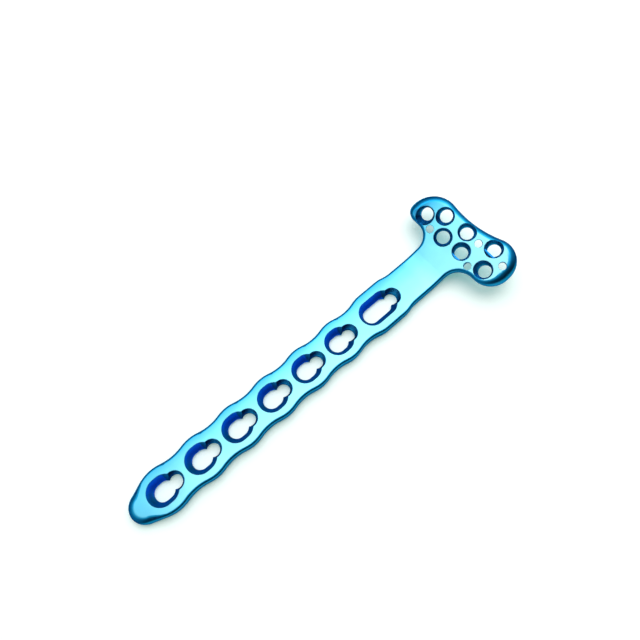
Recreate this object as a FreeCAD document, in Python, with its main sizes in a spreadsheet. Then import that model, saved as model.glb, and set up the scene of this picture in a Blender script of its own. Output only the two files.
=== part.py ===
import FreeCAD, Part
import math
import os
import re

import Sketcher

# A T-shaped locking plate for the palm side of the wrist end of the radius.
# Millimetres. The origin lies on the bone face, on the centre line of the shaft, in the
# solid neck between the long slot and the bend. +X runs along the shaft to the head,
# +Y across the plate, +Z away from the bone.

SIZES = {
    # plate and bend
    "thickness": 2.5,
    "bend_start": 2.7,
    "bend_radius": 12.0,
    "tilt": 22.0,
    # shaft outline, as half widths about the centre line
    "neck_half": 4.35,
    "neck_from": -0.6,
    "slot_half": 4.85,
    "slot_flat_near": -4.4,
    "slot_flat_far": -9.4,
    "bulge_half": 4.7,
    "waist_half": 4.1,
    "crest_share": 0.437,
    "shoulder_radius": 7.5,
    "nose_radius": 3.3,
    "nose_reach": 10.15,
    # combination holes
    "hole_count": 6,
    "pitch": 9.0,
    "first_hole": -16.6,
    "slot_hole": -4.0,
    "lobe_gap": 2.3,
    "hole_slide": 0.8,
    "slot_slide": 3.6,
    "seat_radius": 2.92,
    "seat_rise": 0.71,
    "through_half": 1.76,
    "lobe_top": 1.95,
    "lobe_bore": 1.4,
    "lobe_depth": 1.5,
    # head outline, along and across the tilted plane
    "notch_radius": 4.0,
    "upper_edge": 4.55,
    "upper_end": 12.3,
    "upper_corner": 6.0,
    "upper_back": 2.35,
    "lower_edge": 4.2,
    "lower_end": 14.0,
    "lower_corner": 5.0,
    "lower_back": 4.8,
    "lower_corner_along": 9.65,
    "saddle_radius": 25.0,
    # threaded holes and wire holes of the head
    "head_top": 2.05,
    "head_bore": 1.45,
    "head_depth": 1.5,
    "wire_radius": 0.85,
    # rounded edges
    "rim": 0.6,
    "rim_head": 1.8,
    "rim_lower_end": 2.1,
    "rim_nose": 1.4,
    "bone_bevel": 0.3,
}

# Place along and across the head, then how far the lower end leans distally and fans to +Y.
SCREWS = {
    "radial_far": (7.0, 8.4, 18.0, 6.0),
    "radial_mid": (9.7, 5.05, 11.0, 5.0),
    "radial_near": (6.05, 2.1, 6.0, 7.0),
    "centre": (10.3, -0.85, 0.0, 3.0),
    "ulnar_near": (6.45, -3.0, 0.0, 0.0),
    "ulnar_mid": (11.5, -7.5, 2.0, -2.0),
    "ulnar_far": (6.85, -9.2, 6.0, -7.0),
}
WIRES = {
    "wire_radial": (5.3, 5.35, 8.0, 12.0),
    "wire_centre": (10.1, -4.4, 8.0, 9.0),
    "wire_ulnar": (5.1, -6.2, 6.0, 2.0),
    "wire_corner": (10.1, -11.35, 6.0, 4.0),
}
PLACES = ("along", "across", "lean", "fan")

V = FreeCAD.Vector
doc = FreeCAD.newDocument("bone_plate")


def fill_sheet():
    sheet = doc.addObject("Spreadsheet::Sheet", "Sizes")
    entries = dict(SIZES)
    for table in (SCREWS, WIRES):
        for name, numbers in table.items():
            for word, number in zip(PLACES, numbers):
                entries[name + "_" + word] = number
    for row, (alias, number) in enumerate(entries.items(), start=1):
        sheet.set("A%d" % row, alias)
        sheet.set("B%d" % row, str(number))
        sheet.setAlias("B%d" % row, alias)
    doc.recompute()
    return sheet, {alias: "Sizes." + alias for alias in entries}


sheet, naming = fill_sheet()


def size(alias):
    return float(sheet.get(alias))


def cells(text):
    # each word that names a size is read from the sheet
    return re.sub(r"[a-z_]+[a-z]", lambda found: naming.get(found.group(), found.group()), text)


def bind(thing, **expressions):
    for name, text in expressions.items():
        thing.setExpression(name.replace("__", "."), cells(text))


def plane(body, role):
    return [part for part in body.Origin.OriginFeatures if part.Role == role][0]


def new_sketch(body, name, support):
    sketch = body.newObject("Sketcher::SketchObject", name)
    sketch.AttachmentSupport = [(support, "")]
    sketch.MapMode = "FlatFace"
    return sketch


# Outlines

def arc(centre, radius, start, mid, end):
    points = []
    for angle in (start, mid, end):
        turn = math.radians(angle)
        points.append(V(centre[0] + radius * math.cos(turn), centre[1] + radius * math.sin(turn), 0))
    return Part.Arc(*points)


def sweep(centre, radius, start, end):
    return arc(centre, radius, start, (start + end) / 2, end)


def line(first, second):
    return Part.LineSegment(V(first[0], first[1], 0), V(second[0], second[1], 0))


def wave(crest, trough):
    # two arcs that meet in a tangent, level on the crest and in the trough
    run = trough[0] - crest[0]
    drop = crest[1] - trough[1]
    both = (run * run + drop * drop) / (2 * drop)
    turn = math.asin(abs(run) / both)
    side = 1 if run > 0 else -1

    def bow(start, radius, way, down):
        points = []
        for part in (0, 0.5, 1):
            angle = turn * part
            points.append(V(start[0] + way * radius * math.sin(angle),
                            start[1] - down * radius * (1 - math.cos(angle)), 0))
        return Part.Arc(*points)

    share = size("crest_share")
    return [bow(crest, both * share, side, 1), bow(trough, both * (1 - share), -side, -1)]


def joined(pieces):
    # neighbouring arcs of one circle become one arc
    whole = []
    for piece in pieces:
        last = whole[-1] if whole else None
        if isinstance(last, Part.ArcOfCircle) and isinstance(piece, Part.ArcOfCircle):
            if (last.Center - piece.Center).Length < 1e-6:
                whole[-1] = Part.Arc(far_end(last, piece), near_end(last, piece), far_end(piece, last))
                continue
        whole.append(piece)
    return whole


def ends(piece):
    return [piece.value(piece.FirstParameter), piece.value(piece.LastParameter)]


def near_end(piece, other):
    return min(ends(piece), key=lambda point: min((point - end).Length for end in ends(other)))


def far_end(piece, other):
    return max(ends(piece), key=lambda point: min((point - end).Length for end in ends(other)))


def bulge_middles():
    count = int(size("hole_count"))
    return [size("first_hole") - size("pitch") * (i + 0.25) for i in range(count)]


def nose_flank(last):
    # the straight flank touches the last bulge's arc and the nose's arc
    tip = size("first_hole") - size("pitch") * (size("hole_count") - 1) - size("nose_reach")
    small = size("nose_radius")
    large = size("shoulder_radius")
    nose = V(tip + small, 0, 0)
    bulge = V(last, size("bulge_half") - large, 0)
    apart = bulge - nose
    angle = math.atan2(apart.y, apart.x) + math.acos((small - large) / apart.Length)
    return nose, bulge, math.degrees(angle)


def shaft_outline():
    neck = size("neck_half")
    wide = size("slot_half")
    bulge = size("bulge_half")
    waist = size("waist_half")
    half = size("pitch") / 2
    near = size("slot_flat_near")
    far = size("slot_flat_far")
    middles = bulge_middles()

    upper = [line((size("bend_start"), neck), (size("neck_from"), neck))]
    upper += wave((near, wide), (size("neck_from"), neck))[::-1]
    upper.append(line((near, wide), (far, wide)))
    upper += wave((far, wide), (middles[0] + half, waist))
    for middle in middles:
        upper += wave((middle, bulge), (middle + half, waist))[::-1]
        if middle != middles[-1]:
            upper += wave((middle, bulge), (middle - half, waist))

    nose, last, angle = nose_flank(middles[-1])
    turn = math.radians(angle)
    out = V(math.cos(turn), math.sin(turn), 0)
    upper.append(sweep(last, size("shoulder_radius"), 90, angle))
    upper.append(Part.LineSegment(last + out * size("shoulder_radius"), nose + out * size("nose_radius")))

    upper = joined(upper)
    lower = [mirrored(piece) for piece in upper]
    caps = [sweep(nose, size("nose_radius"), angle, 360 - angle),
            line((size("bend_start"), -neck), (size("bend_start"), neck))]
    return upper + lower + caps


def mirrored(piece):
    span = piece.LastParameter - piece.FirstParameter
    points = [piece.value(piece.FirstParameter + span * part) for part in (0, 0.5, 1)]
    points = [V(point.x, -point.y, 0) for point in points]
    if isinstance(piece, Part.LineSegment):
        return Part.LineSegment(points[0], points[2])
    return Part.Arc(*points)


def touching(first, small, second, large, between):
    # middle of the hollow arc that touches two round corners from outside
    apart = second - first
    left = small + between
    right = large + between
    along = (left * left - right * right + apart.Length ** 2) / (2 * apart.Length)
    off = math.sqrt(left * left - along * along)
    way = V(apart).normalize()
    return first + way * along + V(-way.y, way.x, 0) * off


def heading(centre, target):
    return math.degrees(math.atan2(target.y - centre.y, target.x - centre.x))


def head_corners():
    upper = V(size("upper_edge") + size("upper_back"), size("upper_end") - size("upper_corner"), 0)
    lower = V(size("lower_corner_along"), size("lower_corner") - size("lower_end"), 0)
    return upper, lower


def head_outline():
    neck = size("neck_half")
    notch = size("notch_radius")
    edge = size("upper_edge")
    back = size("upper_back")
    top = size("upper_end")
    low_edge = size("lower_edge")
    low_back = size("lower_back")
    bottom = -size("lower_end")
    saddle = size("saddle_radius")
    upper, lower = head_corners()
    hollow = touching(upper, size("upper_corner"), lower, size("lower_corner"), saddle)
    high = heading(upper, hollow)
    low = heading(lower, hollow)
    return [
        line((0, neck), (edge - notch, neck)),
        sweep((edge - notch, neck + notch), notch, -90, 0),
        line((edge, neck + notch), (edge, top - back)),
        sweep((edge + back, top - back), back, 180, 90),
        sweep(upper, size("upper_corner"), 90, high),
        sweep(hollow, saddle, high + 180, low + 180),
        sweep(lower, size("lower_corner"), low, -90),
        line((lower.x, bottom), (low_edge + low_back, bottom)),
        sweep((low_edge + low_back, bottom + low_back), low_back, -90, -180),
        line((low_edge, bottom + low_back), (low_edge, -neck - notch)),
        sweep((low_edge - notch, -neck - notch), notch, 0, 90),
        line((low_edge - notch, -neck), (0, -neck)),
        line((0, -neck), (0, neck)),
    ]


# Blank: the shaft, the bend and the head, each as thick as the plate

HEAD = ("placement(vector(bend_start + bend_radius * sin(tilt); 0;"
        " thickness + bend_radius * (1 - cos(tilt)));"
        " rotation(vector(0; 1; 0); -tilt))")

blank = doc.addObject("PartDesign::Body", "Blank")

shaft = new_sketch(blank, "ShaftOutline", plane(blank, "XY_Plane"))
shaft.addGeometry(shaft_outline(), False)
shaft_pad = blank.newObject("PartDesign::Pad", "Shaft")
shaft_pad.Profile = shaft
bind(shaft_pad, Length="thickness")

section = new_sketch(blank, "NeckSection", plane(blank, "YZ_Plane"))
bind(section, AttachmentOffset__Base__z="bend_start")
corners = [V(-1, 0, 0), V(1, 0, 0), V(1, 1, 0), V(-1, 1, 0)]
for number in range(4):
    section.addGeometry(Part.LineSegment(corners[number], corners[(number + 1) % 4]), False)
for number in range(4):
    section.addConstraint(Sketcher.Constraint("Coincident", number, 2, (number + 1) % 4, 1))
section.addConstraint(Sketcher.Constraint("Horizontal", 2))
section.addConstraint(Sketcher.Constraint("Vertical", 1))
section.addConstraint(Sketcher.Constraint("Vertical", 3))
section.addConstraint(Sketcher.Constraint("PointOnObject", 0, 1, -1))
section.addConstraint(Sketcher.Constraint("PointOnObject", 0, 2, -1))
section.addConstraint(Sketcher.Constraint("DistanceX", -1, 1, 0, 2, 1.0))
section.addConstraint(Sketcher.Constraint("DistanceX", 0, 1, -1, 1, 1.0))
section.addConstraint(Sketcher.Constraint("DistanceY", 1, 1, 1, 2, 1.0))
section.setExpression("Constraints[%d]" % (section.ConstraintCount - 3), "Sizes.neck_half")
section.setExpression("Constraints[%d]" % (section.ConstraintCount - 2), "Sizes.neck_half")
section.setExpression("Constraints[%d]" % (section.ConstraintCount - 1), "Sizes.thickness")
hinge = section.addGeometry(Part.LineSegment(V(-5, 10, 0), V(5, 10, 0)), True)
section.addConstraint(Sketcher.Constraint("Horizontal", hinge))
section.addConstraint(Sketcher.Constraint("DistanceX", hinge, 1, hinge, 2, 10.0))
section.addConstraint(Sketcher.Constraint("DistanceX", hinge, 1, -1, 1, 5.0))
section.addConstraint(Sketcher.Constraint("DistanceY", -1, 1, hinge, 1, 10.0))
section.setExpression("Constraints[%d]" % (section.ConstraintCount - 1),
                      "Sizes.thickness + Sizes.bend_radius")
doc.recompute()
bend = blank.newObject("PartDesign::Revolution", "Bend")
bend.Profile = section
bend.ReferenceAxis = (section, ["Axis0"])
bend.Reversed = True
bind(bend, Angle="tilt")

head = new_sketch(blank, "HeadOutline", plane(blank, "XY_Plane"))
bind(head, AttachmentOffset=HEAD)
head.addGeometry(head_outline(), False)
head_pad = blank.newObject("PartDesign::Pad", "Head")
head_pad.Profile = head
head_pad.Reversed = True
bind(head_pad, Length="thickness")
doc.recompute()

# Edges: a narrow rounded band along the shaft, wider round the ends, a bevel on the bone side

def faces_towards(shape, way):
    found = []
    for face in shape.Faces:
        first, last, low, high = face.ParameterRange
        if face.normalAt((first + last) / 2, (low + high) / 2).z * way > 0.8:
            found.append(face)
    return found


def rim_edges(shape, way):
    # an edge that only one of the facing faces holds lies on the outline
    holders = {}
    for face in faces_towards(shape, way):
        for edge in face.Edges:
            holders.setdefault(edge.hashCode(), []).append(edge)
    rim = [held[0] for held in holders.values() if len(held) == 1]
    return [number for number, edge in enumerate(shape.Edges, start=1)
            if any(edge.isSame(other) for other in rim)]


def rim_stations():
    # corners of the head's outline between which the edge is rounded more
    upper, lower = head_corners()
    hollow = touching(upper, size("upper_corner"), lower, size("lower_corner"), size("saddle_radius"))
    wide = size("rim_head")
    end = size("rim_lower_end")
    bottom = -size("lower_end")
    return [
        (V(upper.x, size("upper_end"), 0), wide),
        (upper + (hollow - upper).normalize() * size("upper_corner"), wide),
        (lower + (hollow - lower).normalize() * size("lower_corner"), wide),
        (V(lower.x, bottom, 0), end),
        (V(size("lower_edge") + size("lower_back"), bottom, 0), end),
    ]


def rounding_at(point, stations, nose):
    if point.x < nose:
        return size("rim_nose")
    for station, radius in stations:
        if (point - station).Length < 0.02:
            return radius
    return size("rim")


def rounded(name, base):
    shape = base.Shape
    stations = [(head.Placement.multVec(point), radius) for point, radius in rim_stations()]
    nose = nose_flank(bulge_middles()[-1])[0].x
    edges = []
    for number in rim_edges(shape, 1):
        edge = shape.Edges[number - 1]
        radii = [rounding_at(edge.valueAt(place), stations, nose) for place in edge.ParameterRange]
        if edge.Orientation == "Reversed":
            # the fillet reads a reversed edge from its far end
            radii.reverse()
        edges.append((number, radii[0], radii[1]))
    result = doc.addObject("Part::Fillet", name)
    result.Base = base
    result.Edges = edges
    doc.recompute()
    return result


def bevelled(name, base):
    width = size("bone_bevel")
    result = doc.addObject("Part::Chamfer", name)
    result.Base = base
    result.Edges = [(number, width, width) for number in rim_edges(base.Shape, -1)]
    doc.recompute()
    return result


rim = rounded("Rim", blank)
bevel = bevelled("BoneEdge", rim)

# Openings: every tool is a simple solid, and all are cut from the rounded blank at once

def at(along, across, up, turn="0; 0; 0"):
    return "placement(vector(%s; %s; %s); rotation(%s))" % (along, across, up, turn)


def tool(kind, name, place, **sizes):
    solid = doc.addObject("Part::" + kind, name)
    bind(solid, Placement=place, **sizes)
    return solid


def threaded(name, place, top, bore, depth):
    # the cone goes on above the surface and the bore goes on below the bone face
    flare = "%s + 2 * (%s - %s) / %s" % (top, top, bore, depth)
    return [
        tool("Cone", name + "Cone", place + " * " + at(0, 0, "-" + depth),
             Radius1=bore, Radius2=flare, Height=depth + " + 2"),
        tool("Cylinder", name + "Bore", place + " * " + at(0, 0, "-2 * thickness"),
             Radius=bore, Height="2 * thickness"),
    ]


def recess(name, near, slide):
    # a ball-shaped seat drawn out along the shaft
    level = "thickness + seat_rise"
    far = near + " - " + slide
    return [
        tool("Sphere", name + "Near", at(near, 0, level), Radius="seat_radius"),
        tool("Sphere", name + "Far", at(far, 0, level), Radius="seat_radius"),
        tool("Cylinder", name + "Slide", at(far, 0, level, "0; 90; 0"),
             Radius="seat_radius", Height=slide),
    ]


def through(name, near, slide):
    far = near + " - " + slide
    deep = "2 * thickness"
    return [
        tool("Cylinder", name + "Near", at(near, 0, "-1"), Radius="through_half", Height=deep),
        tool("Cylinder", name + "Far", at(far, 0, "-1"), Radius="through_half", Height=deep),
        tool("Box", name + "Span", at(far, "-through_half", "-1"),
             Length=slide, Width="2 * through_half", Height=deep),
    ]


def combination(name, centre, slide):
    near = centre + " - lobe_gap"
    place = at(centre, 0, "thickness")
    lobe = threaded(name + "Lobe", place, "lobe_top", "lobe_bore", "lobe_depth")
    return lobe + recess(name + "Recess", near, slide) + through(name + "Slot", near, slide)


def leaning(name):
    turn = "0; -%s_lean; %s_fan" % (name, name)
    return HEAD + " * " + at(name + "_along", name + "_across", 0, turn)


tools = combination("Long", "slot_hole", "slot_slide")
for number in range(int(size("hole_count"))):
    tools += combination("Hole%d" % (number + 1), "first_hole - %d * pitch" % number, "hole_slide")
for name in SCREWS:
    tools += threaded(name, leaning(name), "head_top", "head_bore", "head_depth")
for name in WIRES:
    place = leaning(name) + " * " + at(0, 0, "-2 * thickness")
    tools.append(tool("Cylinder", name, place, Radius="wire_radius", Height="4 * thickness"))

openings = doc.addObject("Part::MultiFuse", "Openings")
openings.Shapes = tools
plate = doc.addObject("Part::Cut", "Plate")
plate.Label = "bone_plate"
plate.Base = bevel
plate.Tool = openings
plate.Placement = FreeCAD.Placement(V(0, 0, 0), FreeCAD.Rotation(0, 0, 0))
doc.recompute()

failed = [thing.Name for thing in doc.Objects if "Invalid" in thing.State or "Error" in thing.State]
if failed:
    raise RuntimeError("failed: " + ", ".join(failed))
for part in (plate,):
    if part.Shape.isNull() or not part.Shape.isValid() or len(part.Shape.Solids) != 1:
        raise RuntimeError(part.Label + " is not one valid solid")
    gone = bevel.Shape.Volume - part.Shape.Volume
    print(part.Label, round(part.Shape.Volume, 2), "mm3, openings", round(gone, 2), "mm3")

os.makedirs("parts", exist_ok=True)
for part in (plate,):
    part.Shape.exportStep("parts/" + part.Label + ".step")
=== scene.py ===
# %% [markdown]
# A volar plate for a broken wrist, lying bone side down on a white table. The solid comes from the
# CAD model, so its outline, its bend and every opening are already true to size. What is left to do
# here is what the eye sees: the anodised colour, the satin left by blasting, the threads cut in the
# locking holes, and the light. Blender counts in metres. The named values are in millimetres, as on
# a drawing, and are turned to metres where Blender takes them.

import math

import bpy
from mathutils import Matrix, Vector


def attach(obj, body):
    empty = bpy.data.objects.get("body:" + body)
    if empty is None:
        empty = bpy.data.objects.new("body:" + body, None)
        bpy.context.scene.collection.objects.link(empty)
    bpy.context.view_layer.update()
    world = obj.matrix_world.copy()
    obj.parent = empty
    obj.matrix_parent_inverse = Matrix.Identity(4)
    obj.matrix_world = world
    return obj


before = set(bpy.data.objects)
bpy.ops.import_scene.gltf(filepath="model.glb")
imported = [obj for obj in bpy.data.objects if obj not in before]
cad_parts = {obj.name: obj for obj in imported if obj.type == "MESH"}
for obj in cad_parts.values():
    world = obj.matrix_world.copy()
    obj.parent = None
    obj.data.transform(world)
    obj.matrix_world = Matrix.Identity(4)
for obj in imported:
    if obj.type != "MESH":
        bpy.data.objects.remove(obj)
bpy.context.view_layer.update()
MM = 0.001
print("loaded", list(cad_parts))

# %% [markdown]
# Colours are written as the hex values that a paint program shows. Shaders count in linear light,
# so one function turns each hex value to linear numbers, by the curve of the sRGB standard.

# %% A colour from its hex value
def linear(hex_value):
    shown = [int(hex_value[i:i + 2], 16) / 255 for i in (0, 2, 4)]
    return [c / 12.92 if c <= 0.04045 else ((c + 0.055) / 1.055) ** 2.4 for c in shown] + [1.0]


# %% [markdown]
# A procedural material is a small graph of nodes. One function adds a node, gives it its settings
# and plugs in its links, so each material below reads as a list of steps. Sockets go by name, or by
# number where several share a name.

# %% One function that adds a node
def add_node(material, kind, settings=None, inputs=None):
    tree = material.node_tree
    node = tree.nodes.new(kind)
    for name, value in (settings or {}).items():
        setattr(node, name, value)
    for name, value in (inputs or {}).items():
        socket = node.inputs[name] if isinstance(name, int) else next(
            entry for entry in node.inputs if entry.name == name and entry.enabled)
        if isinstance(value, bpy.types.NodeSocket):
            tree.links.new(value, socket)
        else:
            socket.default_value = value
    return node


def mixed(node):
    # a Mix node has an output for each kind of value, and only one of them is in use
    return next(socket for socket in node.outputs if socket.enabled)


def new_material(name):
    material = bpy.data.materials.new(name)
    material.use_nodes = True
    material.node_tree.nodes.clear()
    return material


# %% [markdown]
# Two measures of the plate come back in the finish and in the threads: where the holes sit along
# the shaft, and how the head is bent up from it. They are the numbers of the CAD model.

# %% Measures taken over from the CAD model, in mm, with the tilt in radians
THICKNESS = 2.5
PITCH = 9.0
HOLES = 6
FIRST_HOLE = -16.6
LAST_HOLE = FIRST_HOLE - (HOLES - 1) * PITCH
SLOT_HOLE = -4.0
BEND_FROM = 2.7
BEND_RADIUS = 12.0
TILT = math.radians(22)
BEND_TO = BEND_FROM + BEND_RADIUS * math.sin(TILT)
HEAD_FRAME = (Matrix.Translation((BEND_TO, 0, THICKNESS + BEND_RADIUS * (1 - math.cos(TILT))))
              @ Matrix.Rotation(-TILT, 4, "Y"))
print("the bend ends at x =", round(BEND_TO, 2), "mm, the last hole is at x =", LAST_HOLE, "mm")

# %% [markdown]
# Each opening of the shaft is a threaded lobe beside a smooth compression seat. In the picture the
# seats are royal blue and the lobes navy, where the outside is cyan. The metal is the same there,
# so these colours are painted: shade of the recesses, with a painted glint and the bluer colour the
# film shows at a slant on some walls. The CAD model has them in one piece with the plate, and
# painting faces by hand would not survive a new mesh, so two masks in the material pick them out by
# place: a stretch along the shaft that comes back with every hole, a width, and a depth that stops
# just short of both faces. Object coordinates are the plate's own, so the masks stay on the holes
# whatever the plate does.

# %% Where the combined holes and their seats lie, in mm
# along the shaft, counted from the centre of the lobe
SEAT_FROM = -1.15
SEAT_TO = -6.4
SLOT_SEAT_TO = -9.2
LOBE_END = 2.6
# room past the last seat
SPARE = 0.5
# half the width of the masks, and how far they stop short of the two faces
HALF_MASK = 3.2
OFF_TOP = 0.1
OFF_BONE = 0.03
# half the width of a mask's soft edge, along and across the plate and in its depth
SOFT_EDGE = 0.12
SHARP_EDGE = 0.03


def between(material, value, low, high, blur=SOFT_EDGE):
    # 1 between low and high and 0 outside, with soft ends
    rise = add_node(material, "ShaderNodeMapRange", {}, {
        "Value": value, "From Min": low - blur, "From Max": low + blur})
    fall = add_node(material, "ShaderNodeMapRange", {}, {
        "Value": value, "From Min": high + blur, "From Max": high - blur})
    return add_node(material, "ShaderNodeMath", {"operation": "MULTIPLY"}, {
        0: rise.outputs["Result"], 1: fall.outputs["Result"]}).outputs[0]


def insides_of_holes(material, axes):
    # a mask of all openings of the shaft, and a mask of the seats in them, where shade is painted
    tip_end = LAST_HOLE + SEAT_TO - SPARE
    repeat = add_node(material, "ShaderNodeMath", {"operation": "WRAP"}, {
        0: axes.outputs["X"], 1: FIRST_HOLE + LOBE_END, 2: FIRST_HOLE + LOBE_END - PITCH})
    seat = between(material, repeat.outputs[0], FIRST_HOLE + SEAT_TO, FIRST_HOLE + SEAT_FROM)
    in_row = between(material, axes.outputs["X"], tip_end, FIRST_HOLE)
    row = add_node(material, "ShaderNodeMath", {"operation": "MULTIPLY"}, {0: seat, 1: in_row})
    slot = between(material, axes.outputs["X"], SLOT_HOLE + SLOT_SEAT_TO, SLOT_HOLE + SEAT_FROM)
    along = add_node(material, "ShaderNodeMath", {"operation": "MAXIMUM"}, {
        0: row.outputs[0], 1: slot})
    across = between(material, axes.outputs["Y"], -HALF_MASK, HALF_MASK)
    depth = between(material, axes.outputs["Z"], OFF_BONE, THICKNESS - OFF_TOP, SHARP_EDGE)
    inside = add_node(material, "ShaderNodeMath", {"operation": "MULTIPLY"}, {0: across, 1: depth})
    shaft = between(material, axes.outputs["X"], tip_end, SLOT_HOLE + LOBE_END)
    holes = add_node(material, "ShaderNodeMath", {"operation": "MULTIPLY"}, {
        0: shaft, 1: inside.outputs[0]})
    seats = add_node(material, "ShaderNodeMath", {"operation": "MULTIPLY"}, {
        0: along.outputs[0], 1: inside.outputs[0]})
    return holes.outputs[0], seats.outputs[0]


# %% [markdown]
# The colour turns from cyan on top over blue to navy on walls and rims, by how far a spot leans
# away from the top face beside it. This is painted shade and painted reflection: it stands for the
# shade and the dark things that walls and rims reflect, and for the bluer colour the film shows at
# a slant. The top face itself leans back on the head. The finish therefore turns the upward
# direction along with the bend, and takes the dot product of that and the surface's own normal. Its
# size without the sign is used, so the bone face is as cyan as the top. A spot that faces towards
# the head is counted as more level than it is, which paints a lighter reflection on the walls and
# rims that face that way. A spot that faces sideways is counted as less level, which paints a
# darker shade on the rims along the two long sides, from the first of the rounding.

# %% How level a spot is with the top face beside it
# painted reflection: spots facing the head are counted as more level, so they come out lighter
PAINTED_GLINT_AHEAD = 0.42
# painted shade: spots facing sideways are counted as less level, so they come out darker and bluer
PAINTED_SHADE_SIDEWAYS = -1.0


def levelness(material, axes, normal):
    lean = add_node(material, "ShaderNodeMapRange", {}, {
        "Value": axes.outputs["X"], "From Min": BEND_FROM, "From Max": BEND_TO, "To Max": -TILT})
    sine = add_node(material, "ShaderNodeMath", {"operation": "SINE"}, {0: lean.outputs["Result"]})
    cosine = add_node(material, "ShaderNodeMath", {"operation": "COSINE"}, {
        0: lean.outputs["Result"]})
    top = add_node(material, "ShaderNodeCombineXYZ", {}, {
        "X": sine.outputs[0], "Z": cosine.outputs[0]})
    product = add_node(material, "ShaderNodeVectorMath", {"operation": "DOT_PRODUCT"}, {
        0: top.outputs["Vector"], 1: normal})
    level = add_node(material, "ShaderNodeMath", {"operation": "ABSOLUTE"}, {
        0: product.outputs["Value"]})
    minus_sine = add_node(material, "ShaderNodeMath", {"operation": "MULTIPLY"}, {
        0: sine.outputs[0], 1: -1.0})
    ahead = add_node(material, "ShaderNodeCombineXYZ", {}, {
        "X": cosine.outputs[0], "Z": minus_sine.outputs[0]})
    facing = add_node(material, "ShaderNodeVectorMath", {"operation": "DOT_PRODUCT"}, {
        0: ahead.outputs["Vector"], 1: normal})
    facing_ahead = add_node(material, "ShaderNodeMath", {"operation": "MAXIMUM"}, {
        0: facing.outputs["Value"], 1: 0.0}).outputs[0]
    facing_side = add_node(material, "ShaderNodeSeparateXYZ", {}, {0: normal}).outputs["Y"]
    # paints a lighter reflection on spots facing the head and a darker shade on spots facing
    # sideways
    for share, weight in ((facing_ahead, PAINTED_GLINT_AHEAD), (facing_side, PAINTED_SHADE_SIDEWAYS)):
        square = add_node(material, "ShaderNodeMath", {"operation": "MULTIPLY"}, {
            0: share, 1: share})
        level = add_node(material, "ShaderNodeMath", {"operation": "MULTIPLY_ADD"}, {
            0: square.outputs[0], 1: weight, 2: level.outputs[0]})
    return level.outputs[0]


# %% [markdown]
# The top goes from a pale cyan along the near long side to a bluer one along the far side. This is
# a painted highlight, which fades across the width. The head is wider than the shaft, and the
# measure of the width grows with it.

# %% How far across the plate a spot lies, in mm
SHAFT_HALF = 5.0
HEAD_HALF = 11.0
HEAD_WIDE_AT = 10.0


def across_plate(material, axes):
    # 0 along one long side and 1 along the other
    half = add_node(material, "ShaderNodeMapRange", {}, {
        "Value": axes.outputs["X"], "From Min": BEND_FROM, "From Max": HEAD_WIDE_AT,
        "To Min": SHAFT_HALF, "To Max": HEAD_HALF})
    share = add_node(material, "ShaderNodeMath", {"operation": "DIVIDE"}, {
        0: axes.outputs["Y"], 1: half.outputs["Result"]})
    return add_node(material, "ShaderNodeMapRange", {}, {
        "Value": share.outputs[0], "From Min": -1.0, "From Max": 1.0}).outputs["Result"]


# %% [markdown]
# The colours go into two ramps: one for walls and rim, by how level they are, and one for the two
# broad faces, by where they lie across the plate. The tip is bluer all over, a painted shade where
# the highlight falls off towards it. In the holes the colour follows the wall round. In the lobes
# navy, a painted shade of the recess, turns to blue, a painted glint, at the end towards the head.
# In the seats teal turns to royal blue on the walls that face the near side, painted shade and the
# bluer colour the film shows at a slant. All of it could be one picture laid over the plate, but a
# picture has a fixed fineness, and these few nodes stay sharp however near the camera comes.

# %% Film and painted shade outside and in the holes
# a spot as level as this has the full colour of a face
FLAT = 0.9985
# the stretch over which the tip grows bluer, in mm, and how far it goes towards its own tint;
# the bluer tip is a painted shade
TIP_FROM = -58.0
TIP_TO = -69.0
TIP_SHARE = 0.7
# where the second colour starts in a hole, as the part of the wall's normal along X in a lobe and
# along Y in a seat, and how far on it is complete; that colour is a painted glint in a lobe and a
# painted slant colour in a seat
LOBE_TURNS = -0.3
SEAT_TURNS = 0.0
TURN = 0.75


def film_and_shade_ramp(material, film_and_shade, value):
    ramp = add_node(material, "ShaderNodeValToRGB", {}, {"Fac": value})
    stops = ramp.color_ramp.elements
    stops[0].color = linear(film_and_shade[0][1])
    stops[1].color = linear(film_and_shade[-1][1])
    for level, tint in film_and_shade[1:]:
        stops.new(level).color = linear(tint)
    return ramp.outputs["Color"]


# colour of the outside: the film's cyan, with painted shade and reflection on walls and rims, a
# painted highlight across the faces and a painted shade on the tip
def outer_film_and_shade(material, axes, normal, film_and_shade):
    level = levelness(material, axes, normal)
    tip = add_node(material, "ShaderNodeMapRange", {}, {
        "Value": axes.outputs["X"], "From Min": TIP_FROM, "From Max": TIP_TO,
        "To Max": TIP_SHARE})
    face = add_node(material, "ShaderNodeMix", {"data_type": "RGBA"}, {
        "Factor": tip.outputs["Result"], "B": linear(film_and_shade["tip"]),
        "A": film_and_shade_ramp(material, film_and_shade["faces"], across_plate(material, axes))})
    flat = add_node(material, "ShaderNodeMapRange", {}, {
        "Value": level, "From Min": film_and_shade["walls"][-1][0], "From Max": FLAT})
    return add_node(material, "ShaderNodeMix", {"data_type": "RGBA"}, {
        "Factor": flat.outputs["Result"], "A": film_and_shade_ramp(material, film_and_shade["walls"], level),
        "B": mixed(face)})


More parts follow.
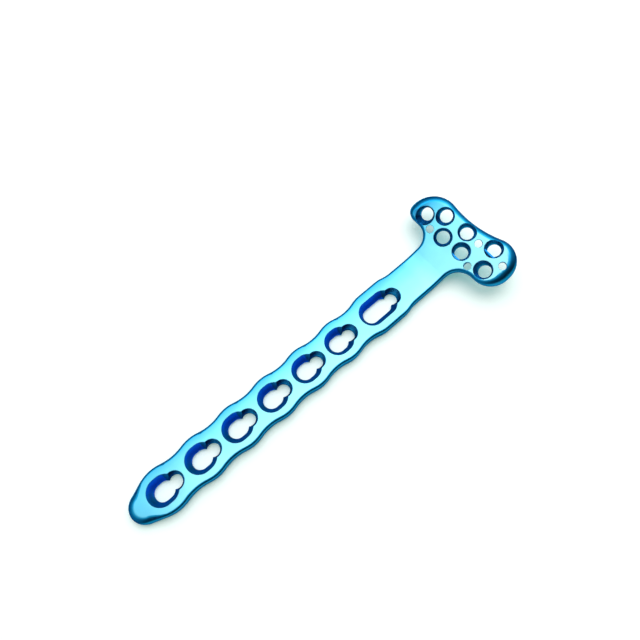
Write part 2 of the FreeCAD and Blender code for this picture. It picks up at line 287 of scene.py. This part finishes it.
def painted_shade_in_holes(material, axes, normal, film_and_shade, outer):
    # paints the shade of the shaft's holes, with a glint in the lobes and royal blue in the seats
    facing = add_node(material, "ShaderNodeSeparateXYZ", {}, {0: normal})
    holes, seats = insides_of_holes(material, axes)
    colour = outer
    for mask, tints, axis, start in ((holes, film_and_shade["lobes"], "X", LOBE_TURNS),
                                     (seats, film_and_shade["seats"], "Y", SEAT_TURNS)):
        turned = add_node(material, "ShaderNodeMapRange", {}, {
            "Value": facing.outputs[axis], "From Min": start, "From Max": start - TURN})
        inner = add_node(material, "ShaderNodeMix", {"data_type": "RGBA"}, {
            "Factor": turned.outputs["Result"], "A": linear(tints[0]), "B": linear(tints[1])})
        colour = add_node(material, "ShaderNodeMix", {"data_type": "RGBA"}, {
            "Factor": mask, "A": mixed(colour), "B": mixed(inner)})
    return colour


# %% [markdown]
# Titanium is not painted. Anodising grows a clear oxide film on it, and the thickness of the film
# makes the colour by interference, so the surface is a metal through and through: metallic 1, with
# the tint in its base colour. Blasting with fine grit before the bath leaves a satin surface, which
# is a middling roughness and a very fine bump. The film is a little thicker here and thinner there,
# which gives slow, faint drifts of colour. Every cut edge is broken by a fifth of a millimetre in
# the tumbler, which the Bevel node gives without touching the mesh.

# %% Anodised titanium, lengths in mm
DRIFT = 9.0
DRIFT_RANGE = (0.90, 1.06)
# real blast marks are about a fifth as wide and would not show, so they are drawn coarser
GRIT = 0.25
GRIT_HEIGHT = 0.02
GRIT_STRENGTH = 0.2
BROKEN_EDGE = 0.2


def drifting(material, place, colour):
    drift = add_node(material, "ShaderNodeTexNoise", {}, {
        "Vector": place.outputs["Object"], "Scale": 1 / (DRIFT * MM), "Detail": 3.0,
        "Roughness": 0.55})
    film = add_node(material, "ShaderNodeMapRange", {}, {
        "Value": drift.outputs["Fac"], "From Min": 0.35, "From Max": 0.65,
        "To Min": DRIFT_RANGE[0], "To Max": DRIFT_RANGE[1]})
    return add_node(material, "ShaderNodeVectorMath", {"operation": "SCALE"}, {
        "Vector": mixed(colour), "Scale": film.outputs["Result"]}).outputs["Vector"]


def blasted(material, place):
    grit = add_node(material, "ShaderNodeTexNoise", {}, {
        "Vector": place.outputs["Object"], "Scale": 1 / (GRIT * MM), "Detail": 3.0,
        "Roughness": 0.6})
    broken = add_node(material, "ShaderNodeBevel", {"samples": 6}, {"Radius": BROKEN_EDGE * MM})
    return add_node(material, "ShaderNodeBump", {}, {
        "Height": grit.outputs["Fac"], "Strength": GRIT_STRENGTH, "Distance": GRIT_HEIGHT * MM,
        "Normal": broken.outputs["Normal"]}).outputs["Normal"]


def anodised_titanium(name, film_and_shade, roughness):
    material = new_material(name)
    place = add_node(material, "ShaderNodeTexCoord")
    millimetres = add_node(material, "ShaderNodeVectorMath", {"operation": "SCALE"}, {
        "Vector": place.outputs["Object"], "Scale": 1 / MM})
    axes = add_node(material, "ShaderNodeSeparateXYZ", {}, {0: millimetres.outputs["Vector"]})
    normal = place.outputs["Normal"]
    colour = outer_film_and_shade(material, axes, normal, film_and_shade)
    colour = painted_shade_in_holes(material, axes, normal, film_and_shade, colour)
    shader = add_node(material, "ShaderNodeBsdfPrincipled", {}, {
        "Base Color": drifting(material, place, colour), "Metallic": 1.0,
        "Roughness": roughness, "Specular Tint": linear(film_and_shade["grazing"]),
        "Normal": blasted(material, place)})
    out = add_node(material, "ShaderNodeOutputMaterial")
    material.node_tree.links.new(shader.outputs["BSDF"], out.inputs["Surface"])
    return material


# %% [markdown]
# The plate and its threads are one piece of metal out of one bath, so one function makes the finish
# of both. The threads lie deep in their holes and have colours of their own, darker blues with no
# pale face, which paint the shade deep in the holes. The tap leaves them smoother than the blasted
# outside, so they also have a lower roughness.

# %% Colours of the plate and of its threads
CYAN = {
    # walls and rims, by how level they are: painted shade and painted reflection
    "walls": [(0.0, "2890BC"), (0.14, "1E7EAC"), (0.38, "0A4A6E"), (0.88, "0F76AE"),
              (0.98, "229ECE")],
    # faces across the width: a painted highlight, pale on the near side and bluer on the far one
    "faces": [(0.0, "88CEDC"), (0.5, "7ACADA"), (0.75, "66BED6"), (0.91, "42A2C8"),
              (1.0, "0E6490")],
    # painted shade on the tip
    "tip": "4CB0D4",
    # lobes: painted shade, then a painted glint at their end towards the head
    "lobes": ("114A80", "2A90C4"),
    # seats: painted shade, then royal blue painted on the walls that face the near side
    "seats": ("12689C", "1666E4"),
    "grazing": "3A8CB8",
}
# the threads' darker blues are painted shade deep in the holes
CREST = "187EC4"
IN_THREADS = dict(
    CYAN, walls=[(0.0, "1C7CA4"), (0.32, "10529A"), (0.88, CREST)],
    faces=[(0.0, CREST), (1.0, CREST)], tip=CREST)
BLASTED_ROUGHNESS = 0.42
TAPPED_ROUGHNESS = 0.26

blue_titanium = anodised_titanium("Anodised titanium, cyan", CYAN, BLASTED_ROUGHNESS)
thread_titanium = anodised_titanium(
    "Anodised titanium, in the threads", IN_THREADS, TAPPED_ROUGHNESS)
plate = bpy.data.objects["bone_plate"]
for slot in plate.material_slots:
    slot.material = blue_titanium
print("material slots on the plate:", len(plate.material_slots))
print("nodes in its material:", len(blue_titanium.node_tree.nodes))

# %% [markdown]
# Locking screws have a second thread on their heads, and it screws into the plate. So the seven
# large holes of the head, and one lobe of each hole in the shaft, carry a thread in a wall that
# narrows downwards. A displaced wall would need a very fine mesh. The Screw modifier does what a
# tap does: it winds a small three-cornered profile round the axis, here with 60 degrees between
# its flanks, and a taper then draws the turns together towards the bottom.

# %% One tapered thread at the origin, in mm
RISE = 0.3
RIDGE = 0.1
SUNK = 0.04
STEPS = 36
THREADED = 1.5
LAST_TURN = -1.35
# an equilateral triangle is this many times as high as its corners are far from its middle
TRIANGLE = 1.5


def turned_ridge(top, bottom, above):
    # radii of the wall at the surface and at its foot, and where the turns start over the surface
    corner = (RIDGE + SUNK) / TRIANGLE
    bpy.ops.object.select_all(action="DESELECT")
    bpy.ops.mesh.primitive_circle_add(
        vertices=3, radius=corner * MM, fill_type="NOTHING",
        location=((top - RIDGE + corner) * MM, 0, above * MM),
        rotation=(math.radians(90), math.radians(-90), 0))
    ridge = bpy.context.object
    bpy.ops.object.transform_apply(location=True, rotation=True, scale=True)
    winding = ridge.modifiers.new("Winding", "SCREW")
    winding.screw_offset = -RISE * MM
    winding.iterations = round((above - LAST_TURN) / RISE)
    winding.steps = winding.render_steps = STEPS
    winding.use_merge_vertices = False
    bpy.ops.object.modifier_apply(modifier=winding.name)
    heights = [vertex.co.z for vertex in ridge.data.vertices]
    narrowing = ridge.modifiers.new("Narrowing", "SIMPLE_DEFORM")
    narrowing.deform_method = "TAPER"
    narrowing.deform_axis = "Z"
    narrowing.factor = (top - bottom) / (THREADED * MM * top) * (max(heights) - min(heights))
    bpy.ops.object.modifier_apply(modifier=narrowing.name)
    bpy.ops.object.mode_set(mode="EDIT")
    bpy.ops.mesh.select_all(action="SELECT")
    bpy.ops.mesh.fill_holes(sides=3)
    bpy.ops.mesh.normals_make_consistent(inside=False)
    bpy.ops.object.mode_set(mode="OBJECT")
    ridge.data.materials.append(thread_titanium)
    return ridge


def reach(thread, low, high):
    # nearest and farthest distance from the axis between two heights
    spots = [vertex.co / MM for vertex in thread.data.vertices]
    rings = [math.hypot(spot.x, spot.y) for spot in spots if low <= spot.z <= high]
    return round(min(rings), 2), round(max(rings), 2)


head_thread = turned_ridge(top=2.05, bottom=1.45, above=0.75)
lobe_thread = turned_ridge(top=1.95, bottom=1.4, above=0.15)
print("head thread at the surface and at its foot, mm:",
      reach(head_thread, -0.2, 0.2), reach(head_thread, -1.5, -1.2))

# %% [markdown]
# Each hole gets its own copy, turned to the hole's axis. The turns stand out of the surface at
# first, so each copy is cut along the top face with Bisect, a hair below it. Where a hole cuts into
# the rounded rim of the head, the cut leans with the rim.

# %% Copies of the thread, each cut to its hole, in mm and degrees
BELOW_FACE = 0.06
HOLE_WIDTH = 4.1
UP = Vector((0, 0, 1))
# name: place along and across the head, lean, fan, and how far the rim falls at the far edge
HEAD_HOLES = {
    "radial_far": (7.0, 8.4, 18.0, 6.0, 0.08),
    "radial_mid": (9.7, 5.05, 11.0, 5.0, 0.16),
    "radial_near": (6.05, 2.1, 6.0, 7.0, 0.0),
    "centre": (10.3, -0.85, 0.0, 3.0, 0.52),
    "ulnar_near": (6.45, -3.0, 0.0, 0.0, 0.0),
    "ulnar_mid": (11.5, -7.5, 2.0, -2.0, 0.36),
    "ulnar_far": (6.85, -9.2, 6.0, -7.0, 0.06),
}


def thread_copy(source, name, place):
    bpy.ops.object.select_all(action="DESELECT")
    bpy.context.view_layer.objects.active = source
    source.select_set(True)
    bpy.ops.object.duplicate()
    piece = bpy.context.object
    piece.name = name
    piece.matrix_world = Matrix.Scale(MM, 4) @ place @ Matrix.Scale(1 / MM, 4)
    bpy.ops.object.transform_apply(location=True, rotation=True, scale=True)
    return piece


def cut_active(point, outward):
    # takes away what lies beyond the point, and closes the cut
    bpy.ops.object.mode_set(mode="EDIT")
    bpy.ops.mesh.select_all(action="SELECT")
    bpy.ops.mesh.bisect(plane_co=point * MM, plane_no=outward, use_fill=True, clear_outer=True)
    bpy.ops.object.mode_set(mode="OBJECT")


threads = []
for name, (along, across, lean, fan, fall) in HEAD_HOLES.items():
    spot = HEAD_FRAME @ Matrix.Translation((along, across, 0))
    turn = (Matrix.Rotation(math.radians(-lean), 4, "Y")
            @ Matrix.Rotation(math.radians(fan), 4, "X"))
    threads.append(thread_copy(head_thread, "thread_" + name, spot @ turn))
    rim = spot @ Matrix.Rotation(math.atan2(fall, HOLE_WIDTH), 4, "Y")
    cut_active(rim @ Vector((0, 0, -BELOW_FACE - fall / 2)), rim.to_3x3() @ UP)
print("threads in the head:", len(threads))

# %% [markdown]
# In the shaft only the lobe is threaded, and it opens into the compression seat beside it. A second
# cut takes the turns away where the seat begins. It leans, because the seat narrows downwards.

# %% Threads in the lobes of the shaft
INTO_SEAT = 0.1
SEAT_LEAN = 0.36
TOWARDS_SEAT = Vector((-1, 0, SEAT_LEAN)).normalized()

centres = {"slot": SLOT_HOLE}
centres.update({"shaft_%d" % (i + 1): FIRST_HOLE - i * PITCH for i in range(HOLES)})
for name, centre in centres.items():
    lobe = Matrix.Translation((centre, 0, THICKNESS))
    threads.append(thread_copy(lobe_thread, "thread_" + name, lobe))
    cut_active(lobe @ Vector((0, 0, -BELOW_FACE)), UP)
    cut_active(lobe @ Vector((-INTO_SEAT, 0, 0)), TOWARDS_SEAT)

bpy.data.objects.remove(head_thread)
bpy.data.objects.remove(lobe_thread)
for piece in threads:
    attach(piece, "root")
print(len(threads), "threads,", sum(len(piece.data.polygons) for piece in threads), "faces")

# %% [markdown]
# The table is a wide white sheet of paper just under the bone face, and it takes the soft shadow. A
# brighter lamp would also lift the paper to clean white, but it would wash out the plate. A little
# glow does it instead. The camera and the plate's reflections see it, and it casts no light.

# %% White table
TABLE_SIZE = 2000.0
UNDER_PLATE = 0.02
GLOW = 0.17


def white_paper():
    material = new_material("White studio paper")
    ray = add_node(material, "ShaderNodeLightPath")
    seen = add_node(material, "ShaderNodeMath", {"operation": "MAXIMUM"}, {
        0: ray.outputs["Is Camera Ray"], 1: ray.outputs["Is Glossy Ray"]})
    glow = add_node(material, "ShaderNodeMath", {"operation": "MULTIPLY"}, {
        0: seen.outputs[0], 1: GLOW})
    shader = add_node(material, "ShaderNodeBsdfPrincipled", {}, {
        "Base Color": linear("FFFFFF"), "Roughness": 0.9,
        "Emission Color": linear("98FFDE"), "Emission Strength": glow.outputs[0]})
    out = add_node(material, "ShaderNodeOutputMaterial")
    material.node_tree.links.new(shader.outputs["BSDF"], out.inputs["Surface"])
    return material


bpy.ops.object.select_all(action="DESELECT")
bpy.ops.mesh.primitive_plane_add(size=TABLE_SIZE * MM, location=(0, 0, -UNDER_PLATE * MM))
table = bpy.context.object
table.name = "table"
table.data.materials.append(white_paper())
print("table, m:", [round(side, 2) for side in table.dimensions])

# %% [markdown]
# The camera stands close above the plate, a little towards the tip and to one side. Its place, turn
# and lens come from matching the centres of the holes in the picture with those of the model.

# %% Camera, in mm and degrees
CAMERA_PLACE = (-47.52, -21.46, 112.66)
CAMERA_TURN = (19.644, -1.489, -41.574)
LENS = 31.29
SENSOR = 36.0
NEAREST = 5.0

bpy.ops.object.camera_add(location=[value * MM for value in CAMERA_PLACE],
                          rotation=[math.radians(angle) for angle in CAMERA_TURN])
camera = bpy.context.object
camera.data.lens = LENS
camera.data.sensor_width = SENSOR
camera.data.clip_start = NEAREST * MM
bpy.context.scene.camera = camera
print("camera above the table, mm:", round(camera.location.z / MM, 1))

# %% [markdown]
# One large soft lamp stands high up beyond the head and adds the broad highlight on the neck. It is
# as wide as a real softbox, because a smaller lamp would leave a hard-edged patch there.

# %% Softbox, in mm and watts
LAMP_PLACE = Vector((87.5, 110.0, 436.5))
LAMP_AIM = Vector((-20.0, 0.0, 0.0))
LAMP_WIDTH = 550.0
LAMP_POWER = 1.3

bpy.ops.object.light_add(type="AREA", location=LAMP_PLACE * MM)
lamp = bpy.context.object
lamp.name = "Overhead softbox"
lamp.data.shape = "DISK"
lamp.data.size = LAMP_WIDTH * MM
lamp.data.energy = LAMP_POWER
lamp.rotation_euler = (LAMP_PLACE - LAMP_AIM).to_track_quat("Z", "Y").to_euler()
print("lamp above the table, mm:", LAMP_PLACE.z)

# %% [markdown]
# Metal shows what is around it, so the room matters more than the lamp. It is white overhead and
# darkens towards the horizon. A black flag, as photographers hang beside a shiny thing, stands on
# the near side, and its reflection draws the dark line along the lower rim. Panels built round the
# plate would do the same, but they would stand in the way of other views, so the room is drawn by a
# few nodes in the world. Behind the table there is a plain white backdrop that the camera alone
# sees, so a view from the side shows no dark room.

# %% Room
# strength overhead, and how far up a direction points, from -1 to 1, at the dark and bright ends
OVERHEAD = 1.12
DARK_AT = -0.3
BRIGHT_AT = 0.95
# direction of the flag's middle, its soft edge as the cosine of the angle to that direction, and
# the share of light that the flag lets through
FLAG_MIDDLE = (-0.1, -0.8, 0.59)
FLAG_EDGE = (0.55, 0.85)
FLAG_LEFT = 0.03

world = bpy.data.worlds.new("Studio")
bpy.context.scene.world = world
world.use_nodes = True
world.node_tree.nodes.clear()
ray = add_node(world, "ShaderNodeTexCoord")
ray_parts = add_node(world, "ShaderNodeSeparateXYZ", {}, {0: ray.outputs["Generated"]})
height = add_node(world, "ShaderNodeMapRange", {}, {
    "Value": ray_parts.outputs["Z"], "From Min": DARK_AT, "From Max": BRIGHT_AT,
    "To Max": OVERHEAD})
towards_flag = add_node(world, "ShaderNodeVectorMath", {"operation": "DOT_PRODUCT"}, {
    0: ray.outputs["Generated"], 1: FLAG_MIDDLE})
flag = add_node(world, "ShaderNodeMapRange", {}, {
    "Value": towards_flag.outputs["Value"], "From Min": FLAG_EDGE[0], "From Max": FLAG_EDGE[1],
    "To Min": 1.0, "To Max": FLAG_LEFT})
room = add_node(world, "ShaderNodeMath", {"operation": "MULTIPLY"}, {
    0: height.outputs["Result"], 1: flag.outputs["Result"]})
seen = add_node(world, "ShaderNodeLightPath")
shown = add_node(world, "ShaderNodeMath", {"operation": "MAXIMUM"}, {
    0: room.outputs[0], 1: seen.outputs["Is Camera Ray"]})
background = add_node(world, "ShaderNodeBackground", {}, {
    "Color": linear("FFFFFF"), "Strength": shown.outputs[0]})
sky = add_node(world, "ShaderNodeOutputWorld")
world.node_tree.links.new(background.outputs["Background"], sky.inputs["Surface"])

bpy.context.scene.view_settings.view_transform = "Standard"
print("nodes in the room:", len(world.node_tree.nodes))
